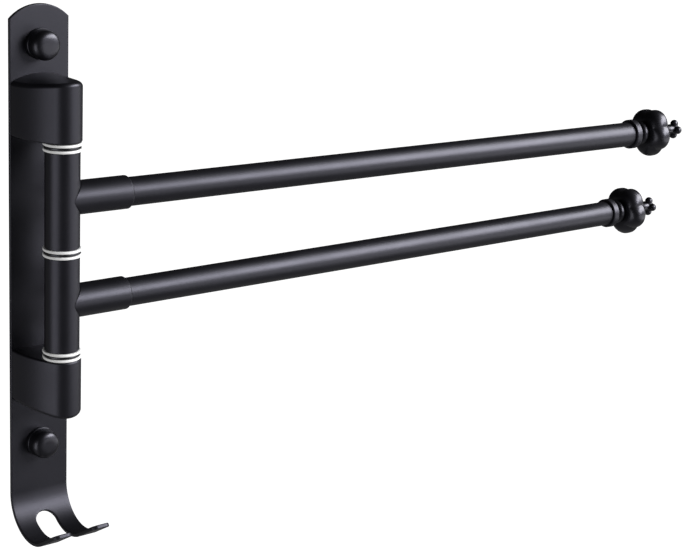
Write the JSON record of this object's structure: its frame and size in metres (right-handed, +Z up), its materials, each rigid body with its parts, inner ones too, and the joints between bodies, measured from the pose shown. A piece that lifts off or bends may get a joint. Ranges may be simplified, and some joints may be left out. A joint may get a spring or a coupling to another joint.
{
  "type": "swing arm towel bar",
  "caption": "Wall-mounted swing arm towel bar: an arched plate with a forked hook carries swivelling bars with crown finials.",
  "frame": {"origin": "on the wall's plane, at the middle of the plate's width, half way between the two wall screw holes", "axes": "+Z up, +Y into the wall, the bars point towards +X at rest and swing out towards -Y"},
  "size_m": [0.4214, 0.0573, 0.2605],
  "materials": {
    "plate_black": "satin black paint on sheet steel",
    "satin_black": "satin black paint",
    "gloss_black": "semi-gloss black paint",
    "white_nylon": "white nylon",
    "dark_steel": "blackened steel",
    "zinc_steel": "bright zinc plate"
  },
  "bodies": {
    "wall_frame": {"back_plate": "plate_black", "upper_bracket": "satin_black", "lower_bracket": "satin_black", "upper_bracket_screws": "zinc_steel", "lower_bracket_screws": "zinc_steel", "pivot_rod": "zinc_steel", "upper_bracket_bush": "white_nylon", "lower_bracket_bush": "white_nylon", "upper_washer": "dark_steel", "middle_washer": "dark_steel", "lower_washer": "dark_steel", "upper_cap_base": "gloss_black", "lower_cap_base": "gloss_black", "upper_cap": "gloss_black", "lower_cap": "gloss_black"},
    "upper_arm": {"upper_sleeve": "satin_black", "upper_sleeve_top_bush": "white_nylon", "upper_sleeve_bottom_bush": "white_nylon", "upper_socket": "satin_black", "upper_arm_screw": "zinc_steel", "upper_bar": "satin_black", "upper_root_plug": "zinc_steel", "upper_end_plug": "zinc_steel", "upper_collar": "satin_black", "upper_finial": "gloss_black"},
    "lower_arm": {"lower_sleeve": "satin_black", "lower_sleeve_top_bush": "white_nylon", "lower_sleeve_bottom_bush": "white_nylon", "lower_socket": "satin_black", "lower_arm_screw": "zinc_steel", "lower_bar": "satin_black", "lower_root_plug": "zinc_steel", "lower_end_plug": "zinc_steel", "lower_collar": "satin_black", "lower_finial": "gloss_black"}
  },
  "joints": [
    {"name": "upper_arm_swing", "type": "hinge", "parent": "wall_frame", "child": "upper_arm", "pos_m": [0, -0.0232, 0.029], "axis": [0, 0, -1], "range_deg": [-3, 177]},
    {"name": "lower_arm_swing", "type": "hinge", "parent": "wall_frame", "child": "lower_arm", "pos_m": [0, -0.0232, -0.0214], "axis": [0, 0, -1], "range_deg": [-1, 179]}
  ]
}
